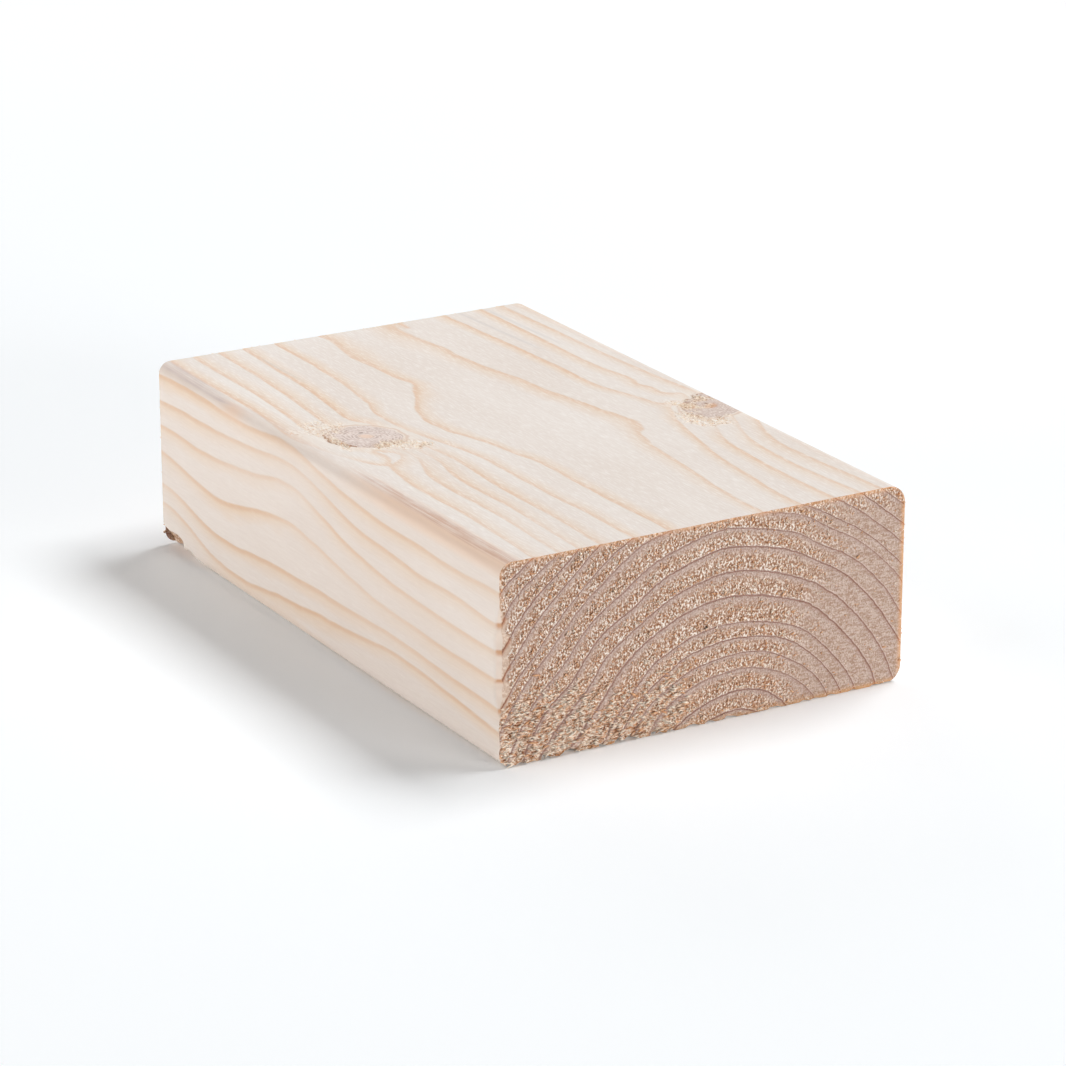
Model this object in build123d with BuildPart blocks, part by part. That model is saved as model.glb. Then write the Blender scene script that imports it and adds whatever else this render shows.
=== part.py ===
"""Timber stud: a short length of planed softwood framing with eased arrises and sawn ends.

The stud lies on one of its wide faces. +X runs along the grain towards the end with the rougher
saw cut, +Y runs across the wide faces and +Z is up. The origin is the middle of the face it lies on.
"""

import os

from build123d import *

# Driving dimensions, in millimetres
stud_length = 160.0
stud_width = 100.0
stud_thickness = 45.0
arris_radius = 3.5

# The planed section, carried along the grain from one saw cut to the other
with BuildPart() as timber_stud:
    with BuildSketch(Plane.YZ.offset(-stud_length / 2)) as section:
        Rectangle(stud_width, stud_thickness, align=(Align.CENTER, Align.MIN))
        fillet(section.vertices(), radius=arris_radius)
    extrude(amount=stud_length)

timber_stud.part.label = "timber_stud"

os.makedirs("parts", exist_ok=True)
export_step(timber_stud.part, "parts/timber_stud.step")
print("timber_stud", timber_stud.part.bounding_box().size, "volume", round(timber_stud.part.volume))
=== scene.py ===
# %% [markdown]
# # Dressing a short timber stud
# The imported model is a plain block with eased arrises. The real piece is sawn and planed softwood: growth
# rings run through the whole block, two branches of one whorl break the wide face, and the saw tore the
# end grain. Every mark on a face is a cut through the same log, so this lesson works the log out first,
# as fields in space, and only then makes the surface that cuts through it.

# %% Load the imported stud
import math

import bpy
import numpy as np
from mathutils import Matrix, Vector


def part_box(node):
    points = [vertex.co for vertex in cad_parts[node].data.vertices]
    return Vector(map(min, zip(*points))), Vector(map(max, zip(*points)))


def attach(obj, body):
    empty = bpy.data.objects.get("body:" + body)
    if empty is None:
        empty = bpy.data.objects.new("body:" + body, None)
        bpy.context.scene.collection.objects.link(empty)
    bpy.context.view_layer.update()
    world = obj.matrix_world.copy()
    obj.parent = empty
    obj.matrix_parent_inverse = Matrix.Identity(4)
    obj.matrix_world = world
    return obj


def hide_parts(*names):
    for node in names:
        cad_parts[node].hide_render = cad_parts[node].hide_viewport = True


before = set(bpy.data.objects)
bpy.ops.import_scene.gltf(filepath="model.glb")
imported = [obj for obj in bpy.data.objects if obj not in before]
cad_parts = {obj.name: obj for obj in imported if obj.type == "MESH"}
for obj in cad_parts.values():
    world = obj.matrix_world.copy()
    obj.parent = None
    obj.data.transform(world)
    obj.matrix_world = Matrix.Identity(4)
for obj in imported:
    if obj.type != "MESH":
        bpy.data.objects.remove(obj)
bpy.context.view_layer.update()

MM = 0.001
low_corner, high_corner = (np.array(corner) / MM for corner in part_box("timber_stud"))
stud_length, stud_width, stud_thickness = high_corner - low_corner
end_x = stud_length / 2
edge_y = stud_width / 2
arris_radii = {"front_low": 3.2, "back_low": 3.8, "front_high": 2.8, "back_high": 4.2}
print("stud, mm:", stud_length.round(2), stud_width.round(2), stud_thickness.round(2))

# %% [markdown]
# ## Helpers for fields
# A field is one number for every point of an array. Two helpers shape all of them: an eased step, and a
# lattice noise that gives the same value each run because its table comes from a fixed seed. Noise from
# Blender's textures would only exist in the material, and here the mesh has to move with it too.

# %% Eased step and lattice noise
noise_table = np.random.default_rng(41).uniform(-1.0, 1.0, 4096)


def eased(low, high, value):
    """0 at low, 1 at high, and an S curve between: three squares less two cubes of the share."""
    share = np.clip((value - low) / (high - low), 0.0, 1.0)
    return share * share * (3.0 - 2.0 * share)


def lattice_noise(points, cell, seed):
    """Random values at the corners of boxes of size cell, blended across each box by eased shares."""
    place = points / np.asarray(cell, float)
    corner = np.floor(place).astype(np.int64)
    share = place - corner
    share = share * share * (3.0 - 2.0 * share)
    total = np.zeros(len(points))
    for step in np.ndindex(2, 2, 2):
        index = corner + np.array(step)
        key = index[:, 0] * 73856093 ^ index[:, 1] * 19349663 ^ index[:, 2] * 83492791
        weight = np.prod(np.where(np.array(step, bool), share, 1.0 - share), axis=1)
        total += weight * noise_table[(key + seed * 7919) % len(noise_table)]
    return total


def share_noise(points, cell, seed):
    """The same noise, from 0 to 1."""
    return 0.5 + 0.5 * lattice_noise(points, cell, seed)


print("noise table of", len(noise_table), "values")

# %% [markdown]
# ## The branches
# A knot is the inside of a branch: a cone that starts at the pith and widens on its way out. These three
# lean the same way along the log, as the branches of one tree do. Each is given by the point where it
# starts, the point where it leaves the stud and its radius there, all in millimetres, by the side of its
# rim that the planer chipped, by the place of a dark check, and by the colours of its heart and rings.

# %% Knots as cones
knots = {
    "upper_front": {"start": (32.0, 5.0, -15.0), "leaves": (-6.9, -34.1, 45.0), "radius": 6.8,
                    "chipped": (0.6, -0.8, 0.0), "check": (-9.7, -34.1, 45.0), "heart": (231, 203, 182),
                    "rings": ((226, 210, 202), (188, 164, 153))},
    "upper_back": {"start": (52.0, 5.0, -15.0), "leaves": (12.7, 43.5, 45.0), "radius": 7.0,
                   "chipped": (-0.8, 0.6, 0.0), "check": (10.6, 43.6, 45.0), "heart": (202, 144, 100),
                   "rings": ((212, 194, 184), (194, 170, 158))},
    "lower_front": {"start": (-44.0, 5.0, -15.0), "leaves": (-74.0, -50.0, -1.5), "radius": 5.5,
                    "chipped": (0.0, 0.0, 1.0), "check": (-76.0, -50.0, 1.0), "heart": (206, 160, 120),
                    "rings": ((214, 190, 170), (186, 150, 122))},
}


def knot_axis(knot):
    """Start, unit direction and length of the branch inside the stud."""
    start = np.array(knots[knot]["start"])
    run = np.array(knots[knot]["leaves"]) - start
    span = np.linalg.norm(run)
    return start, run / span, span


def knot_reach(points, knot):
    """Distance from the branch's axis, over the cone's radius at that height: 1 on the knot's rim."""
    start, axis, span = knot_axis(knot)
    offset = points - start
    along = offset @ axis
    across = np.linalg.norm(offset - along[:, None] * axis, axis=1)
    cone = knots[knot]["radius"] * np.clip(along / span, 0.08, 1.4)
    return np.where(along > 0.0, across / cone, 9.0)


print("knots:", ", ".join(knots))

# %% [markdown]
# ## The growth rings
# The pith lies below the stud, so the rings arch over it. Far from knots a ring is an ellipse about the
# pith, and its size comes from a given list of ring radii. Near knots the rings swell and dip in
# ways no short formula gives. There, points of the ring lines were read off the faces, and a
# smooth correction is solved that moves each ring through its points. The correction fades with distance,
# so the hidden faces keep the ellipses and a swelling round each branch.

# %% Ring radii and the points that lines pass through
pith_y, pith_z = 5.0, -15.0
side_squeeze = 1.055
ring_radii = np.array([0.0, 7.0, 12.5, 17.0, 21.2, 26.0, 29.5, 33.0, 36.5, 42.7, 48.3, 53.9, 58.0,
                       62.0, 64.1, 67.6, 70.9, 74.3, 77.5, 82.6, 87.0, 91.0])

wide_face_lines = {
    13: [(-80, 9), (-60, 12.3), (-40, 15), (-20, 18), (0, 20.5), (11, 21.7), (22, 19.5), (40, 16.2),
         (60, 14.3), (80, 15), (-80, -6), (-60, -8), (-40, -8), (-30, -10.5), (-18, -14), (-6, -16.5),
         (8, -14.2), (24, -11.2), (45, -11.1), (80, -9.5)],
    14: [(-80, 26), (-55, 27.3), (-30, 28.8), (-12, 30), (2, 33.2), (22, 30.3), (34, 27.8), (50, 25),
         (80, 24), (-80, -19.8), (-55, -20.2), (-35, -21.8), (-18, -24.7), (10, -20.4), (28, -19),
         (50, -19.2), (80, -18)],
    15: [(-80, 36), (-50, 37), (-22, 37.8), (-6, 40.3), (36, 33), (58, 31.5), (80, 32.3), (-80, -28.5),
         (-50, -29.3), (-22, -31.8), (10, -25.7), (30, -25.9), (55, -26), (80, -26.3)],
    16: [(-80, 42), (-50, 43), (-22, 44.3), (40, 38.2), (80, 38.6), (-80, -34.8), (-50, -35.8),
         (-24, -37.6), (12, -28.6), (24, -30.6), (50, -30.6), (80, -31.2)],
    17: [(-80, -41), (-50, -41.8), (-26, -43.2), (11, -33), (20, -35.4), (45, -35.8), (80, -36),
         (42, 42.3), (80, 44)],
    18: [(-80, -46.8), (30, -41.6), (55, -41), (80, -42)],
}
front_face_lines = {
    18: [(-76, 42.4), (-50, 42.8), (4, 41.5), (20, 39.4), (45, 38.4), (78, 38.5)],
    17: [(-78, 36), (-50, 36.8), (-30, 38.2), (-14, 39.4), (4, 36.8), (20, 33.8), (45, 32.2), (78, 31.5)],
    16: [(-78, 30), (-45, 30.6), (-28, 32.6), (-14, 34.5), (4, 31.3), (22, 27.8), (45, 26.2), (78, 26)],
    15: [(-78, 23.8), (-52, 20.7), (-32, 23.8), (-14, 25.5), (6, 22.8), (28, 20.2), (55, 19.2),
         (78, 19.8)],
    13: [(-36, 4.5), (-22, 7), (0, 8.7), (20, 10.2), (40, 11), (58, 9.8), (78, 8)],
}
sawn_end_lines = {
    4: [(-7.7, 0.3), (0, 4.8), (6.7, 6.2), (14, 5), (20.7, 0.3)],
    5: [(-14, 0.5), (-5.3, 8.3), (8, 11), (21.3, 7), (28, 0.5)],
    6: [(-18, 1), (-14, 7), (-6, 12), (4.7, 14.5), (21.3, 10.3), (31, 0.5)],
    7: [(-21.5, 0.5), (-14.7, 9.7), (-8.7, 13.7), (4, 18), (21.3, 15), (34.7, 0.5)],
    8: [(-25, 1), (-18.7, 9.7), (-12, 17), (5.3, 21.5), (21.3, 18.2), (38.3, 0.5)],
    9: [(-34, 0.7), (-23.3, 13.7), (-10.7, 24), (3.3, 27.7), (24.7, 23), (38, 11), (43.7, 1)],
    10: [(-40.5, 1), (-25.3, 19), (-12, 28.7), (3.3, 33.3), (23.3, 28.5), (38, 18), (48, 1.7)],
    11: [(-44.5, 1), (-32, 17), (-18.7, 29.3), (-5.3, 36.7), (4.7, 38.9), (24.7, 33.3), (41.3, 21.3)],
    12: [(-45.3, 7), (-32, 24), (-17.3, 36), (6, 43), (28, 35.3), (44.7, 23.3), (49.7, 16.3)],
}


def line_points(lines, place):
    """The points of a table of lines in space, with the radius of the ring that each belongs to."""
    flat = [(ring, *pair) for ring, pairs in lines.items() for pair in pairs]
    ring, first, second = np.array(flat, float).T
    return place(first, second), ring_radii[ring.astype(int)]


def on_wide_face(x, y):
    """Points of the upper face."""
    return np.stack([x, y, np.full_like(x, stud_thickness)], axis=1)


wide_points, wide_targets = line_points(wide_face_lines, on_wide_face)
front_points, front_targets = line_points(
    front_face_lines, lambda x, z: np.stack([x, np.full_like(x, -edge_y), z], axis=1))
end_points, end_targets = line_points(
    sawn_end_lines, lambda y, z: np.stack([np.full_like(y, end_x), y, z], axis=1))
read_points = np.concatenate([wide_points, front_points, end_points])
read_targets = np.concatenate([wide_targets, front_targets, end_targets])
print("ring points read off the faces:", len(read_points))

# %% Hooks in the lines at the knots
hook_lines = {
    13: [(-44, -7.7), (-38, -7.6), (-35.4, -7.4), (-34.6, -9), (-31, -10), (-27, -11.2), (10, 21.9),
         (14.9, 21.3), (22.2, 18.6)],
    14: [(-27, -22.5), (-24, -23.4), (-19, -24.3), (-14.5, -24.4), (0, 32.8), (4, 33.8), (5.6, 36.5),
         (6.4, 39.2), (8, 37), (12, 33.8), (16, 31.9)],
    15: [(-23.6, -31.9), (-20, -32.1), (-17, -30.8), (-14, -29), (-9, 37.7), (-1.5, 38.9), (0.6, 40.8),
         (1.7, 43)],
    18: [(-1, -39.4), (3.2, -36.8), (6, -34.7), (8, -34), (10.5, -35.3), (12.1, -37.6), (13.9, -39.8),
         (17.2, -40.4), (21.7, -40.9)],
}
hook_points, hook_targets = line_points(hook_lines, on_wide_face)
print("hook points:", len(hook_points))

# %% Solve the ring field
swelling = 3.0
swelling_reach = 2.4
fade_size = np.array([24.0, 9.0, 9.0])
hook_size = np.array([3.2, 2.2, 2.2])
slack = 0.03
ring_waves = [(0.30, (45.0, 12.0, 12.0), 3), (0.16, (15.0, 5.0, 5.0), 5), (0.06, (5.0, 2.0, 2.0), 7)]
points_at_once = 20000


def plain_radius(points):
    """Elliptical distance from the pith, less a swelling that a bell curve gives round each branch."""
    across = side_squeeze * (points[:, 1] - pith_y)
    radius = np.hypot(across, points[:, 2] - pith_z)
    for knot in knots:
        radius -= swelling * np.exp(-(knot_reach(points, knot) / swelling_reach) ** 2)
    return radius


def nearness(points, others, size):
    """One plus the distance, times the falling exponential of it, with distances in shares of a size."""
    gap = points[:, None, :] / size - others[None, :, :] / size
    distance = math.sqrt(3.0) * np.sqrt((gap ** 2).sum(axis=2))
    return (1.0 + distance) * np.exp(-distance)


def solved_pull(points, wanted, size):
    """Weights of the nearness to each point whose sum gives the wanted values, but for a little slack."""
    return np.linalg.solve(nearness(points, points, size) + slack * np.eye(len(points)), wanted)


read_wanted = read_targets - plain_radius(read_points)
pull = solved_pull(read_points, read_wanted, fade_size)
hook_wanted = hook_targets - plain_radius(hook_points)
hook_wanted -= nearness(hook_points, read_points, fade_size) @ pull
hook_pull = solved_pull(hook_points, hook_wanted, hook_size)


def ring_age(points):
    """Ring number at each point: whole numbers are the dark lines, and the rest is the year's growth."""
    radius = plain_radius(points)
    for part in np.array_split(np.arange(len(points)), max(1, len(points) // points_at_once)):
        radius[part] += nearness(points[part], read_points, fade_size) @ pull
        radius[part] += nearness(points[part], hook_points, hook_size) @ hook_pull
    for height, cell, seed in ring_waves:
        radius += height * lattice_noise(points, cell, seed)
    return np.interp(radius, ring_radii, np.arange(len(ring_radii)))


print("largest pull on the rings, mm:", np.abs(read_wanted).max().round(2))

# %% [markdown]
# ## The surface
# The block is one closed grid. Each sawn end is a grid of half-millimetre cells whose corner squares are
# squeezed into quarter discs, so its border is exactly the rounded section. The planed skin carries that
# border from one end to the other, with stations set closer together at the saw cuts and at the knots.
# A bevelled cube would give the same outline, but no points to tear the wood with.

# %% Section grid and stations
cells_across = 200
cells_up = 90
station_count = 104
plain_closeness = 0.42
cut_closeness, cut_reach = 3.0, 1.5
knot_closeness = 0.40


def corner_radius(y, z):
    """The radius of the arris in whose quarter of the section a point lies."""
    low = np.where(y < 0.0, arris_radii["front_low"], arris_radii["back_low"])
    high = np.where(y < 0.0, arris_radii["front_high"], arris_radii["back_high"])
    return np.where(z < stud_thickness / 2, low, high)


def rounded_section():
    """Even grid over the section; in a corner square a point keeps its largest share as its distance."""
    y, z = np.meshgrid(np.linspace(-edge_y, edge_y, cells_across + 1),
                       np.linspace(0.0, stud_thickness, cells_up + 1), indexing="ij")
    middle = stud_thickness / 2
    radius = corner_radius(y, z)
    over_y = np.clip(np.abs(y) - (edge_y - radius), 0.0, None)
    over_z = np.clip(np.abs(z - middle) - (middle - radius), 0.0, None)
    largest = np.maximum(over_y, over_z)
    length = np.maximum(np.hypot(over_y, over_z), 1e-9)
    corner = (over_y > 0.0) & (over_z > 0.0)
    squeeze = np.where(corner, largest / length, 1.0)
    y = np.sign(y) * (np.minimum(np.abs(y), edge_y - radius) + over_y * squeeze)
    lift = np.minimum(np.abs(z - middle), middle - radius) + over_z * squeeze
    return y, middle + np.sign(z - middle) * lift


def border_index():
    """Grid indices of the section's border, once round, anticlockwise as seen from +X."""
    i = np.concatenate([np.arange(cells_across), np.full(cells_up, cells_across),
                        np.arange(cells_across, 0, -1), np.zeros(cells_up, int)])
    j = np.concatenate([np.zeros(cells_across, int), np.arange(cells_up),
                        np.full(cells_across, cells_up), np.arange(cells_up, 0, -1)])
    return i, j


def rim_distance(y, z):
    """Distance to the nearest of the section's four sides."""
    return np.minimum(edge_y - np.abs(y), np.minimum(z, stud_thickness - z))


def station_places():
    """Even steps of a running total, where the total grows faster near the saw cuts and the knots."""
    x = np.linspace(-end_x, end_x, 4001)
    closeness = plain_closeness + cut_closeness * np.exp(-(end_x - np.abs(x)) / cut_reach)
    closeness += knot_closeness * eased(-26.0, -16.0, x) * eased(32.0, 22.0, x)
    total = np.concatenate([[0.0], np.cumsum((closeness[1:] + closeness[:-1]) / 2)])
    return np.interp(np.linspace(0.0, total[-1], station_count + 1), total, x)


section_y, section_z = rounded_section()
border_i, border_j = border_index()
border_y, border_z = section_y[border_i, border_j], section_z[border_i, border_j]
border = np.stack([border_y, border_z], axis=1)
border_step = np.hypot(*(np.roll(border, -1, axis=0) - border).T)
stations = station_places()
print("border points:", len(border_y), "stations:", len(stations))

# %% Points and faces of the closed block
left_grid = np.stack([np.full(section_y.size, -end_x), section_y.ravel(), section_z.ravel()], axis=1)
right_grid = left_grid * np.array([-1.0, 1.0, 1.0])
inner = stations[1:-1]
skin_x, skin_y = np.meshgrid(inner, border_y, indexing="ij")
skin_z = np.broadcast_to(border_z, skin_x.shape)
skin_grid = np.stack([skin_x.ravel(), skin_y.ravel(), skin_z.ravel()], axis=1)
plain_block = np.concatenate([left_grid, right_grid, skin_grid])

grid_size = len(left_grid)
grid_id = np.arange(grid_size).reshape(section_y.shape)
left_border = grid_id[border_i, border_j]
skin_id = 2 * grid_size + np.arange(len(skin_grid)).reshape(skin_x.shape)
rows = np.concatenate([left_border[None], skin_id, (left_border + grid_size)[None]])


def grid_quads(ids):
    """The four corners of every cell of a grid of point numbers, turned first index first."""
    return np.stack([ids[:-1, :-1], ids[1:, :-1], ids[1:, 1:], ids[:-1, 1:]], axis=-1).reshape(-1, 4)


right_quads = grid_quads(grid_id + grid_size)
left_quads = grid_quads(grid_id)[:, ::-1]
skin_quads = grid_quads(np.concatenate([rows, rows[:, :1]], axis=1))[:, ::-1]
block_quads = np.concatenate([skin_quads, right_quads, left_quads])
is_cap = np.arange(len(plain_block)) < 2 * grid_size
print("block:", len(plain_block), "points,", 2 * len(block_quads), "triangles")

# %% [markdown]
# ## What the saw and the planer did
# The right-hand saw cut is rough: over most of it the saw pulled the soft early wood out between the hard
# ring lines, in the lower front corner it tore whole rows away, and it broke a flat sliver off the front
# edge as it left the wood. The other cut is calmer. The planer chipped the knots, pulled short fibres out
# beside them and tore the knot at the lower front arris away. All of this is real relief, so it is moved
# into the points. It only ever goes inwards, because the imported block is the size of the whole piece.

# %% Pull and tear of the saw cuts
cut_depth = 0.40
pulled_depth, torn_row_depth, ragged_depth = 0.10, 0.35, 0.35
stroke_depth, stroke_pitch, stroke_slant = 0.02, 1.5, 0.06
tear_reach_y, tear_reach_z = 74.0, 25.0
age = ring_age(plain_block)
early_wood = 1.0 - eased(0.50, 0.78, age % 1.0)


def saw_pull(points):
    """How far early wood is pulled: all of the front and middle, then a fall to calm wood at the back."""
    y, z = points[:, 1], points[:, 2]
    wander = 4.0 * lattice_noise(points, (9.0, 7.0, 5.0), 11)
    pulled = 1.0 - 0.92 * eased(10.0, 25.0, y - 0.3 * z + wander)
    top_strip = 0.75 * eased(38.5, 43.0, z + 0.3 * wander)
    return np.where(points[:, 0] > 0.0, np.maximum(pulled, top_strip), 0.45 + 0.05 * wander)


def saw_tear(points):
    """1 at the lower front corner of the right-hand cut, falling with distance; 0 on the other cut."""
    away = np.hypot((points[:, 1] + edge_y) / tear_reach_y, points[:, 2] / tear_reach_z)
    rough = eased(1.0, 0.25, away + 0.16 * lattice_noise(points, (8.0, 8.0, 5.0), 13))
    return np.where(points[:, 0] > 0.0, rough, 0.0)


pull_share = saw_pull(plain_block)
tear = saw_tear(plain_block)
coarse = share_noise(plain_block, (9.0, 1.1, 0.8), 17)
ragged = share_noise(plain_block, (9.0, 2.6, 1.7), 19)
stroke_place = (plain_block[:, 2] + stroke_slant * plain_block[:, 1]) / stroke_pitch
recess = cut_depth + early_wood * pull_share * (pulled_depth + torn_row_depth * tear) * coarse
recess += ragged_depth * tear ** 2 * ragged + stroke_depth * np.sin(2.0 * math.pi * stroke_place)
end_side = np.sign(plain_block[:, 0])
from_end = end_x - np.abs(plain_block[:, 0])
worn_block = plain_block.copy()
worn_block[:, 0] -= end_side * recess * eased(3.0, 0.0, from_end)
print("saw cut lies back, mm:", recess[is_cap].min().round(2), "to", recess[is_cap].max().round(2))


# %% Slivers broken off the edges of the cuts
def front_sliver(points):
    """Depth of the sliver along the stud and into it, in millimetres: widest above half height."""
    height = points[:, 2] + 2.2 * lattice_noise(points, (9.0, 9.0, 1.5), 21)
    share = eased(8.0, 17.0, height) * eased(40.0, 27.0, height)
    share *= 0.75 + 0.40 * lattice_noise(points, (9.0, 9.0, 1.3), 24)
    share = np.maximum(share, 0.10 + 0.10 * lattice_noise(points, (9.0, 1.1, 0.8), 17))
    return 0.2 + 3.0 * share, 0.1 + 3.6 * share


def bottom_sliver(points):
    """The same for the lower edge, in many small bites that are larger towards the torn corner."""
    bites = share_noise(points, (9.0, 1.4, 1.7), 22)
    share = (0.30 + 0.70 * saw_tear(points)) * eased(0.30, 0.75, bites)
    return 0.15 + 2.4 * share, 0.1 + 2.0 * share


def break_edge(points, depths, inward):
    """Lays a slanting facet over the edge of the right-hand cut.

    With u from the cut and v from the face, a point with u / depth_x + v / depth_in under 1 moves
    along both by half of what is missing, which puts it on the facet.
    """
    depth_x, depth_in = depths
    into = inward[0] * (points[:, 1] + edge_y) + inward[1] * points[:, 2]
    missing = np.clip(1.0 - (end_x - points[:, 0]) / depth_x - into / depth_in, 0.0, None)
    moved = points.copy()
    moved[:, 0] -= missing * depth_x / 2
    moved[:, 1] += missing * depth_in / 2 * inward[0]
    moved[:, 2] += missing * depth_in / 2 * inward[1]
    return moved, eased(0.0, 0.25, missing)


worn_block, broken_front = break_edge(worn_block, front_sliver(plain_block), (1.0, 0.0))
worn_block = break_edge(worn_block, bottom_sliver(plain_block), (0.0, 1.0))[0]
print("longest sliver, mm:", front_sliver(plain_block)[0].max().round(2))

# %% Torn patches beside the knots
torn_depth = 0.28
torn_patches = [
    {"middle": (0.6, -32.2), "size": (2.8, 4.8), "share": 0.95},
    {"middle": (3.0, -27.0), "size": (2.6, 4.6), "share": 0.95},
    {"middle": (-5.0, -41.5), "size": (7.0, 1.2), "share": 0.8},
    {"middle": (-17.0, -40.0), "size": (6.0, 6.5), "share": 0.5},
    {"middle": (7.0, -20.6), "size": (3.5, 1.0), "share": 0.5},
    {"middle": (6.5, 44.6), "size": (3.2, 2.4), "share": 0.95},
    {"middle": (11.8, 43.3), "size": (2.0, 1.6), "share": 0.6},
    {"middle": (10.0, 38.8), "size": (5.0, 3.2), "share": 0.95},
    {"middle": (18.5, 35.0), "size": (5.5, 3.2), "share": 0.85},
    {"middle": (23.3, 39.0), "size": (2.8, 4.2), "share": 0.95},
    {"middle": (20.7, 43.4), "size": (1.2, 1.4), "share": 0.5},
]


def torn_patch(points):
    """Largest share of the patches on the upper face, each fading at a ragged edge."""
    fray = 0.40 * lattice_noise(points, (2.6, 1.2, 9.0), 25)
    fray += 0.25 * lattice_noise(points, (0.9, 0.7, 9.0), 26)
    torn = np.zeros(len(points))
    for patch in torn_patches:
        away = np.hypot((points[:, 0] - patch["middle"][0]) / patch["size"][0],
                        (points[:, 1] - patch["middle"][1]) / patch["size"][1])
        torn = np.maximum(torn, patch["share"] * eased(1.15, 0.55, away + fray))
    return torn * eased(stud_thickness - 1.5, stud_thickness - 0.5, points[:, 2])


patch_share = torn_patch(plain_block)
print("points in torn patches:", int((patch_share > 0.1).sum()))

# %% Chipped knot rims and the torn arris
torn_arris_depth = 1.7
rim_chip_depth, rim_chip_width = 0.50, 0.09
border_turn = np.roll(border, -1, axis=0) - np.roll(border, 1, axis=0)
border_out = np.stack([border_turn[:, 1], -border_turn[:, 0]], axis=1)
border_out /= np.linalg.norm(border_out, axis=1, keepdims=True)
outward = np.zeros_like(plain_block)
outward[rows, 1:] = border_out[None]

chips = share_noise(plain_block, (2.2, 2.2, 2.2), 23)
torn_height = np.interp(plain_block[:, 0], [-80.0, -72.0, -60.0], [5.4, 4.2, 1.4])
arris_gap = np.stack([(plain_block[:, 0] + 78.0) / 18.0, (plain_block[:, 1] + edge_y) / 4.0,
                      plain_block[:, 2] / torn_height], axis=1)
torn_arris = eased(1.10, 0.50, np.linalg.norm(arris_gap, axis=1) + 0.5 * (chips - 0.5))
knot_depth = torn_arris_depth * torn_arris + torn_depth * patch_share
for knot in ("upper_front", "upper_back"):
    reach = knot_reach(plain_block, knot)
    offset = (plain_block - np.array(knots[knot]["leaves"])) / knots[knot]["radius"]
    chipped = eased(0.1, 0.8, offset @ np.array(knots[knot]["chipped"]))
    on_rim = np.exp(-((reach - 1.0) / rim_chip_width) ** 2)
    knot_depth += rim_chip_depth * on_rim * eased(0.35, 0.75, chips) * chipped
worn_block -= outward * knot_depth[:, None]
worn_block = np.clip(worn_block, low_corner, high_corner)
print("deepest tear at the knots, mm:", knot_depth.max().round(2))


# %% Make the block's mesh
def mesh_object(name, points, faces):
    """A new object at the origin, with its points given in millimetres and its faces shaded smooth."""
    mesh = bpy.data.meshes.new(name)
    mesh.from_pydata((points * MM).tolist(), [], faces.tolist())
    mesh.shade_smooth()
    made = bpy.data.objects.new(name, mesh)
    bpy.context.scene.collection.objects.link(made)
    return made


def give_attribute(made, name, values):
    """Stores one number per point, which a material reads by its name."""
    made.data.attributes.new(name, "FLOAT", "POINT").data.foreach_set("value", values.astype(np.float32))


stud = mesh_object("stud_block", worn_block, block_quads)
stud.data.polygons.foreach_set(
    "material_index", (np.arange(len(block_quads)) >= len(skin_quads)).astype(np.int32))
stud.data.set_sharp_from_angle(angle=math.radians(55.0))
print("made", stud.name, "with", len(worn_block), "points")

# %% [markdown]
# ## Marks without depth
# Some marks only change the colour: the band that the planer rubbed along the front arris, a warm tint
# painted over the shade on the arris flank, thin grey streaks, an orange glow painted on the rims where
# light would come through them, and ring lines that show more in some places than in others.
# They could be painted as a picture. Here each is one number per point, which a material reads by name,
# because the points are close enough together and the marks then follow the same measures as the shape.

# %% The rubbed front arris, and the warm tint painted over the shade on its flank
along_x, across_y, up_z = plain_block.T
front_radius = arris_radii["front_high"]
rub_places = [-80, -50, -42, -30, 2, 8, 13, 20, 35, 65, 80]
rub_levels = [0.62, 0.72, 0.55, 0.42, 0.42, 0.25, 0.35, 0.65, 0.90, 0.95, 1.05]
to_front = np.clip(-across_y - (edge_y - front_radius), 0.0, None)
to_top = np.clip(up_z - (stud_thickness - front_radius), 0.0, None)
arris_run = front_radius * np.arctan2(to_front, to_top + 1e-6)
arris_run = np.where(to_front > 0.0, arris_run, -edge_y + front_radius - across_y)
arris_run = arris_run + 0.5 * lattice_noise(plain_block, (16.0, 30.0, 30.0), 35)
rub_start = np.interp(along_x, [-80, -60, -41, -25, -6, 10], [-0.8, 0.1, 0.4, -1.0, -0.4, -1.5])
rub_stop = np.interp(along_x, [-80, -50, -42, -20, 10], [2.9, 2.6, 1.9, 1.5, 1.8])
rub_soft = np.interp(along_x, [-45, -38, -8, 12], [0.45, 0.6, 0.7, 1.3])
arris_rub = eased(-rub_soft, rub_soft, arris_run - rub_start)
arris_rub *= eased(rub_soft, -rub_soft, arris_run - rub_stop) * (to_top > 0.0)
arris_rub *= np.interp(along_x, rub_places, rub_levels)
# painted shade: a warm tint over the lower arris, where the arris turns away from both lamps, strongest to
# the right and round x = -42
flank_run = arris_run + np.clip(stud_thickness - front_radius - up_z, 0.0, None)
flank_level = np.interp(along_x, [8.0, 32.0], [0.15, 1.0])
flank_level += 0.9 * np.exp(-((along_x + 42.0) / 5.0) ** 2)
arris_flank_shade_tint = eased(0.3, 1.8, flank_run) * eased(6.0, 2.8, flank_run) * flank_level * (to_front > 0.0)
print("points on the rubbed arris:", int((arris_rub > 0.1).sum()))
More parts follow.
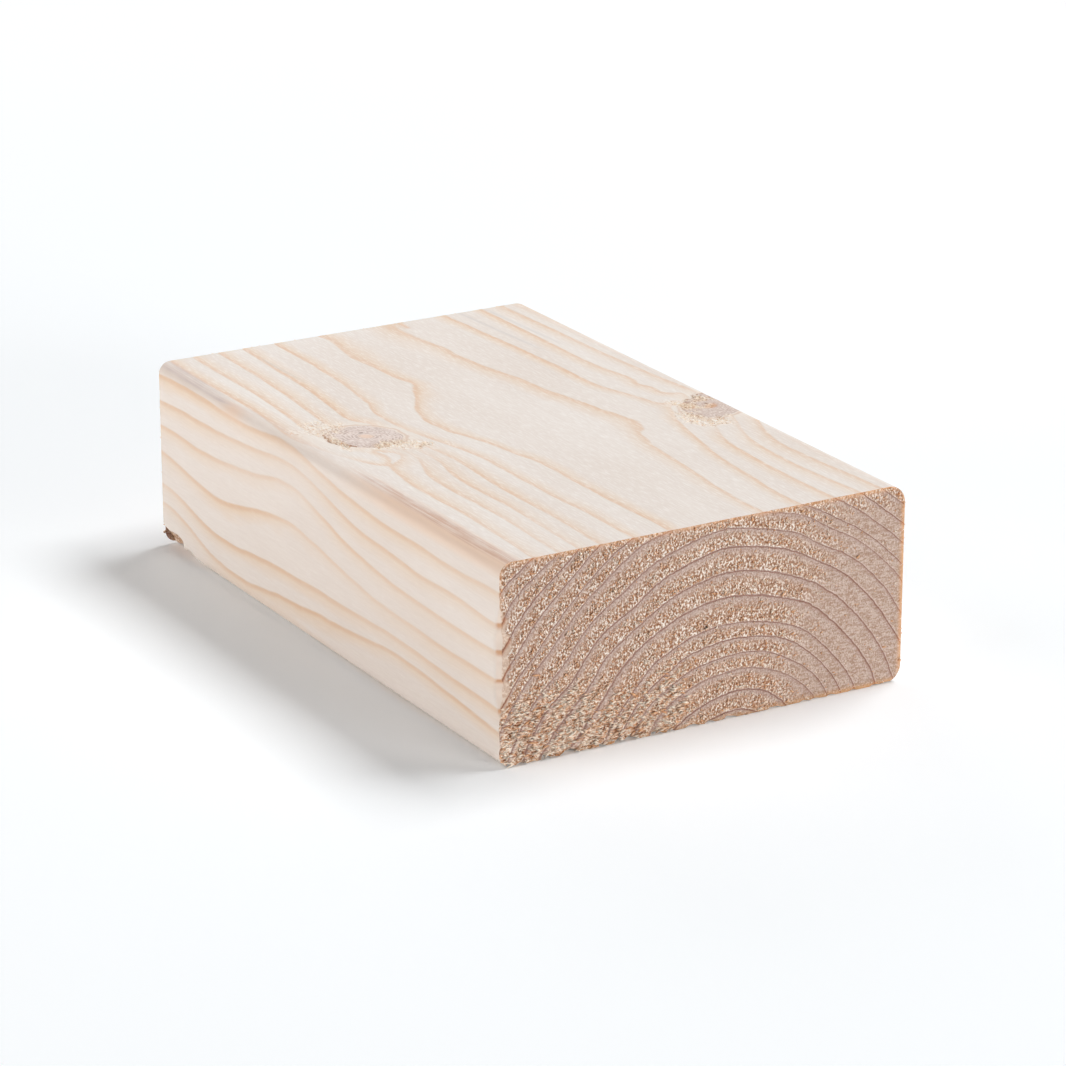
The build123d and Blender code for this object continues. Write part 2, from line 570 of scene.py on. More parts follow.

# %% Painted glow on the rims, and grey streaks
grey_streaks = [(-80.0, -42.0, 37.2, 38.6), (-80.0, -40.0, 30.1, 32.4), (-70.0, -45.0, -28.0, -27.6)]
streak_width, streak_fade = 0.45, 12.0
# painted light: the glow is strongest on the back and upper rims, the sides that face the lamps
lit_rim = np.maximum(across_y / edge_y, 0.6 * (2.0 * up_z / stud_thickness - 1.0))
grey_share = np.zeros(len(plain_block))
for first_x, last_x, first_y, last_y in grey_streaks:
    middle_y = np.interp(along_x, [first_x, last_x], [first_y, last_y])
    faded = eased(last_x, last_x - streak_fade, along_x) * eased(first_x - 1.0, first_x + 2.0, along_x)
    grey_share = np.maximum(grey_share, faded * np.exp(-((across_y - middle_y) / streak_width) ** 2))
grey_share *= up_z > stud_thickness - 0.2
painted_rim_glow = np.exp(-(rim_distance(across_y, up_z) / 0.75) ** 2) * eased(0.1, 0.9, lit_rim)
print("points in grey streaks:", int((grey_share > 0.1).sum()))


# %% How wide and how strong the ring lines are
def ring_spacing():
    """Millimetres from one ring line to the next on the planed skin: one over the slope of the age."""
    rise = np.roll(age[rows], -1, axis=1) - np.roll(age[rows], 1, axis=1)
    slope_round = rise / (border_step + np.roll(border_step, 1))[None]
    slope_along = np.gradient(age[rows], stations, axis=0)
    spacing = np.full(len(plain_block), 5.0)
    spacing[rows] = 1.0 / np.maximum(np.hypot(slope_round, slope_along), 0.04)
    return spacing


ring_strengths = np.array([0.85] * 12 + [1.0, 0.85, 0.95, 0.8, 0.8, 1.0, 0.85, 0.8, 0.8, 0.8])
faded_places = [
    {"middle": (27.0, 37.0, 45.0), "size": (10.0, 7.0, 9.0), "loss": 0.75},
    {"middle": (9.0, -31.0, 45.0), "size": (9.0, 7.0, 9.0), "loss": 0.60},
    {"middle": (-80.0, -50.0, 12.0), "size": (16.0, 9.0, 14.0), "loss": 0.55},
    {"middle": (-8.0, -50.0, 32.0), "size": (12.0, 9.0, 10.0), "loss": 0.60},
    {"middle": (-62.0, -50.0, 4.0), "size": (14.0, 9.0, 5.0), "loss": 0.60},
    {"middle": (-2.0, -45.0, 45.0), "size": (13.0, 4.5, 6.0), "loss": 0.92},
]


def line_strength():
    """How strong the ring lines show: by ring, waxing and waning along the grain, weak in places."""
    strength = ring_strengths[np.clip(age.astype(int), 0, len(ring_strengths) - 1)]
    strength = strength * (0.85 + 0.40 * lattice_noise(plain_block, (34.0, 10.0, 10.0), 33))
    strength = strength * np.interp(along_x, [-80.0, -30.0, 20.0], [1.25, 1.2, 1.0])
    for place in faded_places:
        away = (plain_block - np.array(place["middle"])) / np.array(place["size"])
        strength = strength * (1.0 - place["loss"] * np.exp(-(away ** 2).sum(axis=1)))
    return strength


line_level = line_strength()
print("ring lines show by", line_level.min().round(2), "to", line_level.max().round(2))

# %% Fields that the materials read
block_fields = {
    "line_strength": line_level, "ring_spacing": ring_spacing(), "ring_age": age, "saw_pull": pull_share,
    "saw_tear": tear, "arris_rub": arris_rub, "arris_flank_shade_tint": arris_flank_shade_tint,
    "narrow_face": eased(edge_y - 2.5, edge_y - 0.2, np.abs(across_y)), "grey_streak": grey_share,
    "torn_patch": patch_share, "torn_arris": np.clip(torn_arris, 0.0, 1.0), "painted_rim_glow": painted_rim_glow,
    "low_rim": np.exp(-(up_z / 0.8) ** 2), "broken_front": broken_front}
for field_name, values in block_fields.items():
    give_attribute(stud, field_name, values)
print("fields on the block:", ", ".join(block_fields))

# %% [markdown]
# ## A flat layout for the block
# The material is worked out in space, so the render needs no layout. An exported model does: its colours
# are painted into a picture. The skin is rolled out flat and the two ends lie beside it, turned on their
# side and enlarged, because they hold the finest detail.

# %% Lay the faces out
sheet_size = 292.0
end_scale = 1.4
margin = 1.0
ends_start = stud_length + 6.0
right_shift, left_shift = 2.0, 146.0
border_run = np.concatenate([[0.0], np.cumsum(border_step)])


def skin_layout():
    """Place along the stud, and distance round the section, for the corners of each skin face."""
    run, across = np.meshgrid(stations + end_x, border_run, indexing="ij")
    ids = np.arange(run.size).reshape(run.shape)
    corners = grid_quads(ids)[:, ::-1].ravel()
    return np.stack([run.ravel()[corners] + margin, across.ravel()[corners] + margin], axis=1)


def end_layout(quads, grid_start, shift):
    """Height and width on the section, enlarged and shifted, for the corners of each end face."""
    corners = quads.ravel() - grid_start
    place = np.stack([section_z.ravel()[corners], section_y.ravel()[corners] + edge_y], axis=1)
    return place * end_scale + np.array([ends_start, shift])


layout = np.concatenate([skin_layout(), end_layout(right_quads, grid_size, right_shift),
                         end_layout(left_quads, 0, left_shift)]) / sheet_size
stud.data.uv_layers.new(name="OFBake").data.foreach_set("uv", layout.astype(np.float32).ravel())
print("layout spans", layout.min(axis=0).round(3), "to", layout.max(axis=0).round(3))

# %% [markdown]
# ## Torn fibres
# Close to, a sawn end is a brush: stubs of early wood fibre stand off the cut, catch the light and leave
# brown gaps beside them. Bump alone stays flat, so each stub is a small closed spike of ten triangles,
# and many spikes are one mesh. They point away from the pith, as the rows of cells do, and stand thickest
# where the year starts. In the torn corner they are longer and lie in level rows, like the teeth of a
# comb. The planer left a few beside the knots too.

# %% Spikes as one mesh
spike_faces = np.array([(0, 2, 1), (0, 1, 4), (0, 4, 3), (1, 2, 5), (1, 5, 4), (2, 0, 3), (2, 3, 5),
                        (3, 4, 6), (4, 5, 6), (5, 3, 6)])
spike_ways = np.array([0.0, 0.0, 0.0, 0.6, 0.6, 0.6, 1.0])
spike_points = len(spike_ways)


def bent_spikes(root, lean, out, length, lift, girth):
    """Blunt three-sided spikes: a root, a waist past half way and a tip.

    The spine leaves the root outwards by a quarter sine of the lift, and leans over by a share that
    grows with the square of the way along. The corners stand round it at a third of a turn.
    """
    side = np.cross(out, lean)
    turns = np.array([math.pi / 2, math.pi * 7 / 6, math.pi * 11 / 6])
    ring = side[:, None, :] * np.cos(turns)[None, :, None]
    ring = ring + out[:, None, :] * np.sin(turns)[None, :, None]

    def spine(way):
        return (root + lean * (length * way * (0.4 + 0.6 * way))[:, None]
                + out * (lift * math.sin(way * math.pi / 2))[:, None])[:, None, :]

    ring = ring * (girth / 2)[:, None, None]
    return np.concatenate([spine(0.0) + ring * 0.8, spine(0.6) + ring, spine(1.0)], axis=1)


def spike_layout(count):
    """A square of small cells, one per spike: its three sides stand next to each other in the cell."""
    cells = math.ceil(math.sqrt(count))
    columns = np.array([(0, 2, 1), (0, 1, 1), (0, 1, 0), (1, 2, 2), (1, 2, 1), (2, 3, 3), (2, 3, 2),
                        (0, 1, 0.5), (1, 2, 1.5), (3, 2, 2.5)]) / 3.0
    heights = np.array([(0, 0, 0.1), (0, 0, 1), (0, 1, 1), (0, 0, 1), (0, 1, 1), (0, 0, 1), (0, 1, 1),
                        (1, 1, 2), (1, 1, 2), (1, 1, 2)]) / 2.0
    cell = np.stack([columns.ravel(), heights.ravel()], axis=1) * 0.8 + 0.1
    number = np.arange(count)
    origin = np.stack([number % cells, number // cells], axis=1)
    return (origin[:, None, :] + cell[None]) / cells


def spike_object(name, spikes, tone, root_way=0.0):
    """One mesh of many spikes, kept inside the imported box, with a tone per spike and the way along it."""
    total = len(spikes)
    faces = (np.arange(total)[:, None, None] * spike_points + spike_faces[None]).reshape(-1, 3)
    made = mesh_object(name, np.clip(spikes, low_corner, high_corner).reshape(-1, 3), faces)
    give_attribute(made, "fibre_tone", np.repeat(tone, spike_points))
    give_attribute(made, "fibre_way", np.tile(root_way + (1.0 - root_way) * spike_ways, total))
    made.data.uv_layers.new(name="OFBake").data.foreach_set(
        "uv", spike_layout(total).astype(np.float32).ravel())
    print(name, total, "fibres,", len(faces), "triangles")
    return made


# %% Fibres of both saw cuts
comb_pitch = 0.54
comb_turn, comb_spread = math.radians(174.0), 17.0
comb_reach = (22.0, 26.0)
comb_size = (1.30, 0.26, 0.34)
stub_spread = 30.0
stub_size = (0.46, 0.30, 0.27)
root_depth = 0.08


def inside_section(points, margin):
    """Whether a point of the section lies deeper than a margin: the usual distance to a rounded box."""
    radius = corner_radius(points[:, 1], points[:, 2])
    over_y = np.abs(points[:, 1]) - (edge_y - radius)
    over_z = np.abs(points[:, 2] - stud_thickness / 2) - (stud_thickness / 2 - radius)
    outside = np.hypot(np.clip(over_y, 0.0, None), np.clip(over_z, 0.0, None))
    return outside + np.minimum(np.maximum(over_y, over_z), 0.0) < radius - margin


def fibre_places(side, count, draw, corner):
    """Draws places over the section. Most stay in early wood that the saw pulled, or in the corner."""
    tries = 10 * count
    reach_y, reach_z = comb_reach if corner else (edge_y, stud_thickness)
    place = np.stack([np.full(tries, side * end_x), draw.uniform(-edge_y, reach_y, tries),
                      draw.uniform(0.0, reach_z, tries)], axis=1)
    torn = saw_tear(place)
    clump = share_noise(place, (9.0, 0.9, 0.7), 29)
    year = ring_age(place) % 1.0
    rim = rim_distance(place[:, 1], place[:, 2])
    if corner:
        level = place[:, 2] - 0.10 * place[:, 1]
        row = (np.floor(level / comb_pitch) + 0.5 + draw.normal(0.0, 0.16, tries)) * comb_pitch
        place[:, 2] += row - level
        wish = eased(0.10, 0.80, torn) * (0.25 + clump) * (0.06 + 0.94 * eased(0.82, 0.50, year))
    else:
        wish = eased(0.92, 0.25, year) * saw_pull(place) * (0.05 + 1.6 * clump ** 2.5)
        wish += 0.4 * clump * eased(1.3, 0.3, rim) * (side > 0.0)
    whole = inside_section(place, 0.25)
    if side > 0.0:
        whole &= place[:, 1] + edge_y > front_sliver(place)[1]
        whole &= place[:, 2] > 0.45 * bottom_sliver(place)[1]
    wish *= whole
    return place[draw.uniform(0.0, 1.0, tries) < wish * count / wish.sum()]


def end_fibres(name, side, count, seed, corner=False):
    """Roots a spike in each place: short and away from the pith, or long and level in the torn corner."""
    draw = np.random.default_rng(seed)
    place = fibre_places(side, count, draw, corner)
    total = len(place)
    i = ((place[:, 1] + edge_y) / stud_width * cells_across).round().astype(int)
    j = (place[:, 2] / stud_thickness * cells_up).round().astype(int)
    surface = worn_block[grid_id[i, j] + (grid_size if side > 0 else 0), 0]
    root = np.stack([surface - side * root_depth, place[:, 1], place[:, 2]], axis=1)

    from_pith = np.arctan2(place[:, 2] - pith_z, place[:, 1] - pith_y)
    if corner:
        turn = comb_turn + np.radians(draw.normal(0.0, comb_spread, total))
        long, high, thick = comb_size
    else:
        turn = from_pith + np.radians(draw.normal(0.0, stub_spread, total))
        long, high, thick = stub_size
    lean = np.stack([np.zeros(total), np.cos(turn), np.sin(turn)], axis=1)
    out = np.tile(np.array([side, 0.0, 0.0]), (total, 1))
    size = draw.gamma(7.0, 1.0 / 7.0, total)
    spikes = bent_spikes(root, lean, out, long * size, high * size, thick * size)
    tone = 0.45 + 0.20 * corner + 0.45 * lattice_noise(place, (9.0, 0.6, 0.5), 31)
    tone += draw.normal(0.0, 0.25, total)
    return spike_object(name, spikes, np.clip(tone, 0.0, 1.0))


right_fibres = end_fibres("torn_fibres_right", 1.0, 8500, 101)
corner_fibres = end_fibres("torn_fibres_corner", 1.0, 2200, 404, corner=True)
left_fibres = end_fibres("torn_fibres_left", -1.0, 4000, 202)


# %% Fibres that the planer pulled out beside the knots
tuft_reach_x, tuft_reach_y = (-26.0, 32.0), (-48.0, 48.0)
tuft_spread = 38.0
tuft_length, tuft_girth = 0.50, 0.20


def planed_fibres(name, count, seed):
    """Lays short spikes along the grain in the torn patches, no higher than the face round them."""
    draw = np.random.default_rng(seed)
    tries = 60 * count
    place = np.stack([draw.uniform(*tuft_reach_x, tries), draw.uniform(*tuft_reach_y, tries),
                      np.full(tries, stud_thickness)], axis=1)
    torn = torn_patch(place)
    kept = draw.uniform(0.0, 1.0, tries) < torn ** 1.5 * count / (torn ** 1.5).sum()
    place, torn = place[kept], torn[kept]
    total = len(place)
    root = place - np.stack([np.zeros(total), np.zeros(total), torn_depth * torn + 0.06], axis=1)
    turn = np.radians(draw.normal(0.0, tuft_spread, total))
    turn += math.pi * (draw.uniform(0.0, 1.0, total) < 0.5)
    lean = np.stack([np.cos(turn), np.sin(turn), np.zeros(total)], axis=1)
    out = np.tile(np.array([0.0, 0.0, 1.0]), (total, 1))
    size = draw.gamma(6.0, 1.0 / 6.0, total)
    lift = torn_depth * torn * draw.uniform(0.3, 0.8, total)
    spikes = bent_spikes(root, lean, out, tuft_length * size, lift, tuft_girth * size)
    # a root way of one half gives these stubs only half the painted shade at the root
    return spike_object(name, spikes, draw.beta(3.5, 1.2, total), 0.5)


planed_tufts = planed_fibres("torn_fibres_top", 900, 303)

# %% [markdown]
# ## Small tools for materials
# A material is a chain of nodes. Short helpers keep the chains readable: they add nodes to the tree on
# the bench, which is the one being built, do sums on numbers and lay one colour over another. Colours are
# written as they look on a screen, from 0 to 255, and turned into the linear light that shaders work in.

# %% Node helpers
FLOAT = "NodeSocketFloat"
VECTOR = "NodeSocketVector"
bench = {}


def screen_colour(red, green, blue):
    """A colour as a screen shows it, turned into linear light with the usual curve."""
    share = np.array([red, green, blue]) / 255.0
    linear = np.where(share <= 0.04045, share / 12.92, ((share + 0.055) / 1.055) ** 2.4)
    return (*(float(value) for value in linear), 1.0)


def add(kind, inputs=None, **settings):
    """Adds a node to the tree on the bench, sets its properties, and links or sets each named input."""
    tree = bench["tree"]
    node = tree.nodes.new(kind)
    for name, value in settings.items():
        setattr(node, name, value)
    for name, value in (inputs or {}).items():
        if isinstance(value, bpy.types.NodeSocket):
            tree.links.new(value, node.inputs[name])
        else:
            node.inputs[name].default_value = value
    return node


def noise(vector, stretch, detail=2.0, roughness=0.5):
    """Noise whose features are 1 / stretch metres long each way."""
    scaled = add("ShaderNodeVectorMath", {0: vector, 1: stretch}, operation="MULTIPLY").outputs[0]
    return add("ShaderNodeTexNoise", {"Vector": scaled, "Scale": 1.0, "Detail": detail,
                                      "Roughness": roughness}).outputs["Fac"]


def attribute(name):
    """A number stored on the mesh."""
    return add("ShaderNodeAttribute", attribute_name=name).outputs["Fac"]


print("node helpers ready")


# %% Sums and blends
def calc(operation, first, second=0.0, third=0.0):
    """One sum on numbers."""
    return add("ShaderNodeMath", {0: first, 1: second, 2: third}, operation=operation).outputs[0]


def vector_sum(operation, first, second=(0.0, 0.0, 0.0), result=0):
    """One sum on vectors."""
    return add("ShaderNodeVectorMath", {0: first, 1: second}, operation=operation).outputs[result]


def times(first, second):
    """The product of two numbers."""
    return calc("MULTIPLY", first, second)


def times_plus(value, factor, more):
    """A number times a factor, and some more."""
    return calc("MULTIPLY_ADD", value, factor, more)


def rest(value):
    """What is left of one."""
    return calc("SUBTRACT", 1.0, value)


def ramp(value, low, high):
    """An eased step from 0 at low to 1 at high, as the field helper does it."""
    return add("ShaderNodeMapRange", {"Value": value, "From Min": low, "From Max": high},
               interpolation_type="SMOOTHSTEP").outputs["Result"]


def fall(value, low, high):
    """The other way round: 1 at low, easing down to 0 at high."""
    return rest(ramp(value, low, high))


def blend(share, first, second):
    """Two colours mixed by a share. Each comes from a node, or is red, green and blue as on a screen."""
    tones = [screen_colour(*tone) if isinstance(tone, tuple) else tone for tone in (first, second)]
    return add("ShaderNodeMix", {0: share, 6: tones[0], 7: tones[1]}, data_type="RGBA").outputs[2]


def paint(colour, over, share, weight):
    """A colour laid over another one, by a share that a weight turns down."""
    return blend(times(share, weight), colour, over)


print("sums and blends ready")


# %% Groups and materials
def new_group(name, inputs, outputs):
    """A shader node group on the bench, with named inputs ready to link. Its outputs are all numbers."""
    group = bpy.data.node_groups.new(name, "ShaderNodeTree")
    for socket, kind in inputs.items():
        group.interface.new_socket(socket, in_out="INPUT", socket_type=kind)
    for socket in outputs:
        group.interface.new_socket(socket, in_out="OUTPUT", socket_type=FLOAT)
    bench["tree"] = group
    return group, add("NodeGroupInput").outputs


def put_out(values):
    """Ends a group: each value goes to the output of its name."""
    add("NodeGroupOutput", values)
    print("group", bench["tree"].name, "puts out", ", ".join(values))


def place_group(group, inputs):
    """One use of a node group, with its own values."""
    return add("ShaderNodeGroup", inputs, node_tree=group).outputs


def new_material(name):
    """An empty node material, with its tree on the bench."""
    made = bpy.data.materials.new(name)
    made.use_nodes = True
    made.node_tree.nodes.clear()
    bench["tree"] = made.node_tree
    return made


def relief(height, strength, distance):
    """A normal that leans as a height rises and falls."""
    inputs = {"Strength": strength, "Distance": distance, "Height": height}
    return add("ShaderNodeBump", inputs).outputs[0]


def end_material(inputs):
    """Ends a material: one shader with these inputs."""
    shader = add("ShaderNodeBsdfPrincipled", inputs)
    add("ShaderNodeOutputMaterial", {"Surface": shader.outputs[0]})


print("groups and materials can be made")

# %% [markdown]
# ## Growth rings in the material
# A year starts with pale early wood and ends with dense late wood, which stops sharply at the ring line.
# On a planed face that shows as a thin line with a soft wash on its inner side. How wide these are is set
# in millimetres from the line, so that they stay thin where a face cuts the rings at a low angle. On a
# sawn end the line itself is dark, and in some years darker than in others, by a random number per ring.

# %% Node group: growth rings
rings_group, given = new_group("growth_rings", {"Age": FLOAT, "Spacing": FLOAT},
                               ("Core", "Wash", "Line", "Year"))
year = calc("FRACT", given["Age"])
ring_number = calc("FLOOR", given["Age"])
darkness = add("ShaderNodeTexWhiteNoise", {"W": ring_number}, noise_dimensions="1D").outputs["Value"]
darkness = times_plus(darkness, 0.40, 0.60)
before_line = times(rest(year), given["Spacing"])
past_line = times(year, given["Spacing"])
edge = times(fall(past_line, 0.0, 0.42), 0.85)
end_line = times(ramp(year, 0.895, 0.955), fall(year, 0.975, 1.0))
put_out({"Core": calc("MAXIMUM", fall(before_line, 0.30, 1.50), edge),
         "Wash": fall(before_line, 0.0, 4.8), "Line": times(end_line, darkness), "Year": year})

# %% [markdown]
# ## Fibre
# Softwood is a bundle of hollow fibres along the grain. A planed face cuts them open lengthwise: long
# faint streaks, with short bright specks where a fibre end lifts, painted as a sheen on it. Both are
# noise stretched along the stud, in a group, so that the colour and the gloss of the planed faces follow
# the same streaks.

# %% Node group: fibre along the grain
fibre_group, given = new_group("grain_fibre", {"Vector": VECTOR}, ("Streak", "Sheen Speck"))
broad = noise(given["Vector"], (70.0, 1500.0, 1500.0), 3.0, 0.6)
fine = noise(given["Vector"], (200.0, 2900.0, 2900.0), 2.0, 0.6)
short = noise(given["Vector"], (330.0, 2600.0, 2600.0), 2.0, 0.6)
put_out({"Streak": times_plus(fine, 0.55, times(broad, 0.45)), "Sheen Speck": ramp(short, 0.46, 0.70)})

# %% [markdown]
# ## Knots in the material
# The same cones as before, now worked out per pixel: the distance from the branch's axis over its radius.
# That gives the knot's own fine rings, its pink heart with a dark check beside it, a brown rim where the
# planer chipped it, a thin peach line on the other side where the last ring bends round, and the paler
# wood about it.

# %% Node group: branch knot
knot_group, given = new_group(
    "branch_knot", {"Vector": VECTOR, "Start": VECTOR, "Axis": VECTOR, "Cone": FLOAT, "Chipped": VECTOR,
                    "Check At": VECTOR},
    ("Inside", "Rings", "Heart", "Check", "Rim", "Bend", "Halo"))
spot = given["Vector"]
offset = vector_sum("SUBTRACT", spot, given["Start"])
along = vector_sum("DOT_PRODUCT", offset, given["Axis"], "Value")
on_axis = add("ShaderNodeVectorMath", {0: given["Axis"], "Scale": along}, operation="SCALE").outputs[0]
across = vector_sum("SUBTRACT", offset, on_axis)
cone = calc("MAXIMUM", times(along, given["Cone"]), 0.0004)
wobble = noise(spot, (260.0, 260.0, 260.0))
out_share = calc("DIVIDE", vector_sum("LENGTH", across, result="Value"), cone)
out_share = times(out_share, times_plus(wobble, 0.30, 0.85))
out_share = times_plus(calc("LESS_THAN", along, 0.0), 9.0, out_share)
chip_side = calc("DIVIDE", vector_sum("DOT_PRODUCT", across, given["Chipped"], "Value"), cone)
chip_side = ramp(chip_side, -0.05, 0.50)
print("knot distance ready")

# %% Masks of the knot group
ring_turns, ring_waver = 64.0, 7.0
rim_at, bend_at = 0.98, 1.08
chip_noise = noise(spot, (800.0, 800.0, 800.0))
turns = times_plus(chip_noise, ring_waver, times(out_share, ring_turns))
turns = times_plus(calc("SINE", turns), 0.5, 0.5)
ring_fade = ramp(noise(spot, (420.0, 420.0, 420.0)), 0.32, 0.60)
from_check = vector_sum("SUBTRACT", spot, given["Check At"])
from_check = vector_sum("MULTIPLY", from_check, (2100.0, 1400.0, 500.0))
check_gap = vector_sum("LENGTH", from_check, result="Value")
rim_band = fall(calc("ABSOLUTE", calc("SUBTRACT", out_share, rim_at)), 0.02, 0.09)
bend_band = fall(calc("ABSOLUTE", calc("SUBTRACT", out_share, bend_at)), 0.01, 0.08)
rim_chip = times(rim_band, ramp(chip_noise, 0.46, 0.58))
put_out({"Inside": fall(out_share, 0.94, 1.02), "Rings": times(turns, ring_fade),
         "Heart": fall(out_share, 0.10, 0.26), "Check": fall(check_gap, 0.55, 1.10),
         "Rim": times(rim_chip, chip_side), "Bend": times(bend_band, rest(chip_side)),
         "Halo": fall(out_share, 1.02, 1.70)})

# %% [markdown]
# ## The planed faces
# Pale, nearly neutral early wood and peach late wood, streaked along the grain, with bright specks painted
# as a sheen; the narrow faces a little warmer; a mauve band where the planer rubbed the eased arris, over a
# flank tinted warm as painted shade; knots laid over them; and brown and cream torn wood beside the knots
# and where the branch at the lower arris came away.

# %% Material: planed softwood
planed = new_material("planed_softwood")
coords = add("ShaderNodeTexCoord").outputs["Object"]
fibre = place_group(fibre_group, {"Vector": coords})
waver = times_plus(fibre["Streak"], 0.05, -0.025)
rings = place_group(rings_group, {"Age": calc("ADD", attribute("ring_age"), waver),
                                  "Spacing": attribute("ring_spacing")})
narrow = attribute("narrow_face")
strength = attribute("line_strength")
cloud = ramp(noise(coords, (14.0, 45.0, 45.0)), 0.3, 0.7)
colour = blend(cloud, (235, 227, 220), (228, 217, 208))
colour = paint(colour, (228, 211, 198), narrow, 0.35)
colour = paint(colour, (230, 204, 178), times(rings["Wash"], strength), 0.80)
colour = paint(colour, (219, 180, 145), times(rings["Core"], strength), 0.62)
colour = paint(colour, (214, 198, 187), ramp(fibre["Streak"], 0.30, 0.70), 0.28)
# painted sheen: near-white specks on lifted fibre ends, strong on the wide faces and faint on the narrow ones
colour = paint(colour, (251, 247, 243), fibre["Sheen Speck"], times_plus(narrow, -0.33, 0.40))
colour = paint(colour, (203, 196, 192), attribute("grey_streak"), 0.45)
# painted shade: the warm tint on the arris flank
colour = paint(colour, (235, 204, 180), attribute("arris_flank_shade_tint"), 0.80)
print("plain wood of", planed.name, "ready")

# %% Rubbed arris and broken edge of the planed faces
to_right = ramp(add("ShaderNodeSeparateXYZ", {0: coords}).outputs["X"], 0.004, 0.030)
rub = attribute("arris_rub")
flank = blend(to_right, (226, 208, 196), (232, 200, 174))
rubbed = blend(to_right, (208, 191, 185), (203, 168, 147))
rubbed = blend(ramp(rub, 0.25, 0.65), flank, rubbed)
rub_streak = ramp(noise(coords, (28.0, 2000.0, 2000.0), 2.0, 0.6), 0.36, 0.62)
rub_patch = ramp(noise(coords, (110.0, 420.0, 420.0), 3.0, 0.6), 0.34, 0.60)
rub_noise = times(times_plus(rub_streak, 0.85, 0.45), times_plus(rub_patch, 0.40, 0.65))
colour = blend(calc("MINIMUM", times(rub_noise, rub), 1.0), colour, rubbed)
broken_wood = blend(rings["Core"], (232, 212, 196), (204, 148, 106))
colour = paint(colour, broken_wood, attribute("broken_front"), 0.80)
print("arris of", planed.name, "ready")

# %% Knots on the planed faces
speckle = noise(coords, (1100.0, 2400.0, 2400.0))
torn_light = ramp(speckle, 0.50, 0.60)
torn_dark = fall(speckle, 0.36, 0.43)
knot_share = 0.0
knot_inside = 0.0
for name, knot in knots.items():
    start, axis, span = knot_axis(name)
    branch = place_group(knot_group, {
        "Vector": coords, "Start": tuple(start * MM), "Axis": tuple(axis),
        "Cone": float(knot["radius"] / span), "Chipped": knot["chipped"],
        "Check At": tuple(np.array(knot["check"]) * MM)})
    colour = paint(colour, (239, 229, 218), calc("SUBTRACT", branch["Halo"], branch["Inside"]), 0.50)
    colour = paint(colour, (206, 172, 148), branch["Bend"], 0.55)
    knotwood = blend(branch["Rings"], *knot["rings"])
    knotwood = paint(knotwood, (243, 234, 227), torn_light, 0.45)
    knotwood = paint(knotwood, (188, 158, 140), torn_dark, 0.35)
    knotwood = paint(knotwood, knot["heart"], branch["Heart"], 0.80)
    knotwood = paint(knotwood, (132, 96, 76), branch["Check"], 0.80)
    colour = blend(branch["Inside"], colour, knotwood)
    colour = paint(colour, (158, 108, 70), branch["Rim"], 0.90)
    knot_share = calc("MAXIMUM", branch["Halo"], knot_share)
    knot_inside = calc("MAXIMUM", branch["Inside"], knot_inside)
print("knots of", planed.name, "ready")


# %% Torn wood and finish of the planed faces
def torn_tone(ground, light, dark):
    """Torn wood: light and dark specks on a ground."""
    return blend(torn_dark, blend(torn_light, ground, light), dark)


torn_wood = torn_tone((231, 213, 194), (255, 250, 244), (180, 134, 92))
torn_gold = torn_tone((208, 168, 124), (250, 234, 208), (142, 92, 52))
torn_wood = paint(torn_wood, torn_gold, knot_inside, 0.7)
colour = paint(colour, torn_wood, attribute("torn_patch"), 0.85)
bitten_wood = blend(torn_light, (178, 134, 100), (226, 200, 174))
colour = blend(attribute("torn_arris"), colour, bitten_wood)
grain_height = times_plus(fibre["Streak"], 0.7, times(rings["Core"], 0.5))
grain_height = times_plus(times(speckle, knot_share), 1.6, grain_height)
end_material({"Base Color": colour, "Roughness": times_plus(fibre["Streak"], 0.18, 0.50),
              "Specular IOR Level": 0.30, "Normal": relief(grain_height, 0.30, 0.00012)})
print("material", planed.name)

# %% [markdown]
# ## The sawn ends
# End grain drinks in light between the cut fibres, so it is darker and browner than a face. Late wood
# cuts clean and looks mauve, with a thin dark line where the year ends and a pale one just past it.
# Pulled early wood is cream flecks on brown: partly the fibres' own colour, partly a painted highlight on
# the flecks and painted shade in the gaps. Calm early wood is as even as late wood, with fine level dashes
# that the saw teeth left. Where light would come through the thin edge, an orange glow is painted on the
# rim, and the ring lines there are painted redder.

# %% Material: sawn end grain
sawn = new_material("sawn_end_grain")
coords = add("ShaderNodeTexCoord").outputs["Object"]
jitter = times_plus(noise(coords, (700.0, 700.0, 700.0)), 0.12, -0.06)
rings = place_group(rings_group, {"Age": calc("ADD", attribute("ring_age"), jitter), "Spacing": 5.0})
year = rings["Year"]
pulled = attribute("saw_pull")
torn = attribute("saw_tear")
calm = rest(pulled)
soft = fall(year, 0.50, 0.88)
colour = blend(calm, (190, 164, 153), (190, 167, 155))
colour = paint(colour, (190, 162, 144), soft, 0.6)
colour = paint(colour, blend(torn, (192, 156, 131), (212, 162, 120)), soft, pulled)
mottle = noise(coords, (2400.0, 2700.0, 2700.0), 2.0, 0.6)
colour = paint(colour, (158, 122, 101), ramp(mottle, 0.50, 0.62), 0.60)
colour = paint(colour, (224, 204, 193), fall(mottle, 0.38, 0.50), 0.50)
print("ground of", sawn.name, "ready")

# %% Flecks, partly painted highlight and painted shade, and dashes on the sawn ends
fleck = noise(coords, (1800.0, 2300.0, 1800.0), 1.0)
stroke = noise(coords, (1800.0, 620.0, 2000.0), 1.0)
fleck = calc("ADD", fleck, times(torn, calc("SUBTRACT", stroke, fleck)))
